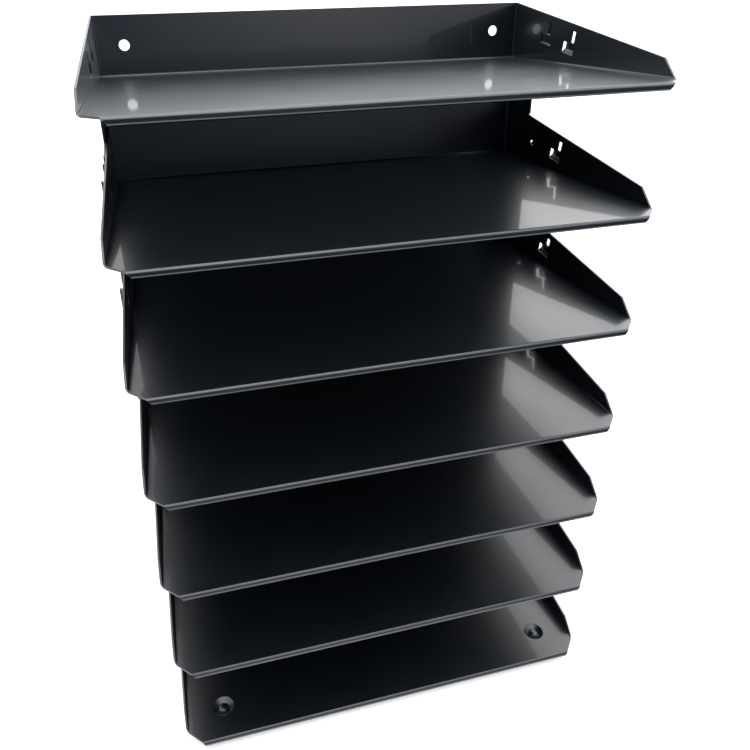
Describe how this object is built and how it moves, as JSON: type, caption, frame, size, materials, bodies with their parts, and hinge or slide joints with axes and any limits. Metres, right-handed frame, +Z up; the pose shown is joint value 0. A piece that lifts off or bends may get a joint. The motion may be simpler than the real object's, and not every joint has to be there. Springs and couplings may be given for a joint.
{
  "type": "desktop file sorter",
  "caption": "Desktop file sorter of folded black steel trays stacked straight up, each on a folded riser that lifts off the back of the one below, over rubber feet.",
  "frame": {"origin": "centre of the bounding box's base, on the desk under the feet", "axes": "+Z up, -Y the open front with the lips, +Y the back, +X the right of someone facing the front"},
  "size_m": [0.3108, 0.194, 0.4677],
  "materials": {
    "black_paint": "semi-gloss black powder coat on sheet steel",
    "black_rubber": "matte moulded rubber",
    "zinc_plate": "black zinc plate"
  },
  "bodies": {
    "tier_1": {"tray_1": "black_paint", "rear_riser_1": "black_paint"},
    "tier_2": {"tray_2": "black_paint", "rear_riser_2": "black_paint"},
    "tier_3": {"tray_3": "black_paint", "rear_riser_3": "black_paint"},
    "tier_4": {"tray_4": "black_paint", "rear_riser_4": "black_paint"},
    "tier_5": {"tray_5": "black_paint", "rear_riser_5": "black_paint"},
    "tier_6": {"tray_6": "black_paint", "rear_riser_6": "black_paint"},
    "tier_7": {"tray_7": "black_paint", "foot_front_left": "black_rubber", "foot_front_right": "black_rubber", "foot_rear_left": "black_rubber", "foot_rear_right": "black_rubber", "foot_screw_front_left": "zinc_plate", "foot_screw_front_right": "zinc_plate", "foot_screw_rear_left": "zinc_plate", "foot_screw_rear_right": "zinc_plate"}
  },
  "joints": [
    {"name": "lift_tier_6", "type": "slide", "parent": "tier_7", "child": "tier_6", "axis": [0, 0, 1], "range_m": [0, 0.03]},
    {"name": "lift_tier_5", "type": "slide", "parent": "tier_6", "child": "tier_5", "axis": [0, 0, 1], "range_m": [0, 0.03]},
    {"name": "lift_tier_4", "type": "slide", "parent": "tier_5", "child": "tier_4", "axis": [0, 0, 1], "range_m": [0, 0.03]},
    {"name": "lift_tier_3", "type": "slide", "parent": "tier_4", "child": "tier_3", "axis": [0, 0, 1], "range_m": [0, 0.03]},
    {"name": "lift_tier_2", "type": "slide", "parent": "tier_3", "child": "tier_2", "axis": [0, 0, 1], "range_m": [0, 0.03]},
    {"name": "lift_tier_1", "type": "slide", "parent": "tier_2", "child": "tier_1", "axis": [0, 0, 1], "range_m": [0, 0.03]}
  ]
}
